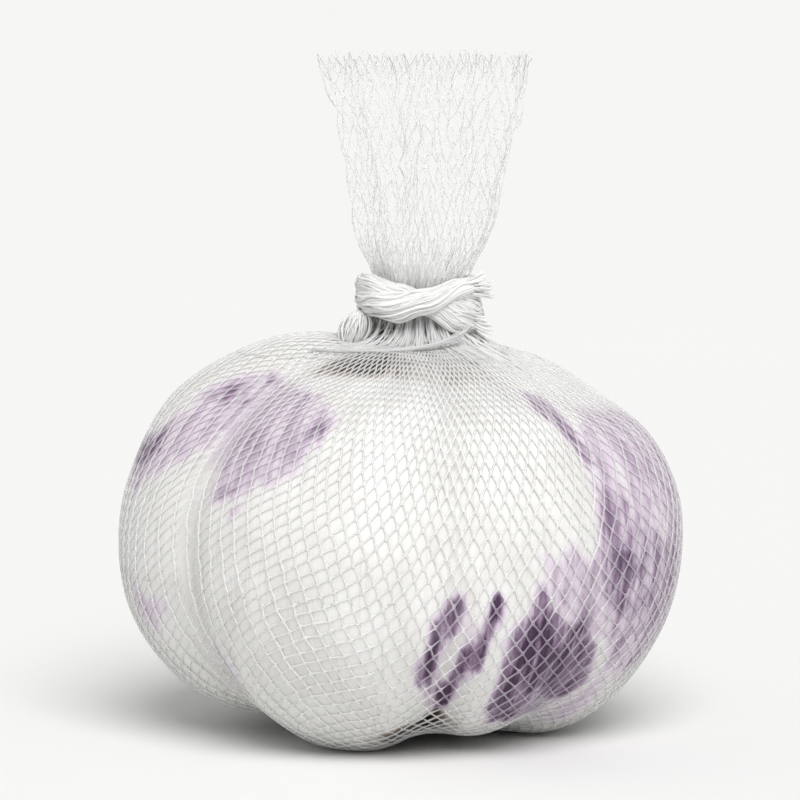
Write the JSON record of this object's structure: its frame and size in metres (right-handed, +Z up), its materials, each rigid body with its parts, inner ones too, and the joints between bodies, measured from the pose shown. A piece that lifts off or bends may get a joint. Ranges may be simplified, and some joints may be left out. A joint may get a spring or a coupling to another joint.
{
  "type": "garlic bulb in a net bag",
  "caption": "Whole garlic bulb with purple-streaked white skin, in a fine white diamond-mesh net bag that is tied at the neck and flares into an open fan.",
  "frame": {"origin": "middle of the underside, on the flat boss where the net is drawn together, at the surface that the bulb rests on", "axes": "+Z up through the stem and the net's neck, -Y towards the front of the bulb, +X to the right seen from the front"},
  "size_m": [0.065, 0.064, 0.078],
  "materials": {
    "garlic_skin": "dry papery skin, white with purple streaks, softly satin",
    "net_thread": "fine white plastic thread, slightly glossy",
    "tie_thread": "bundled white plastic fibres, soft"
  },
  "bodies": {
    "root": {"garlic_bulb": "garlic_skin", "net_bag": "net_thread", "net_tie": "tie_thread"}
  },
  "joints": []
}
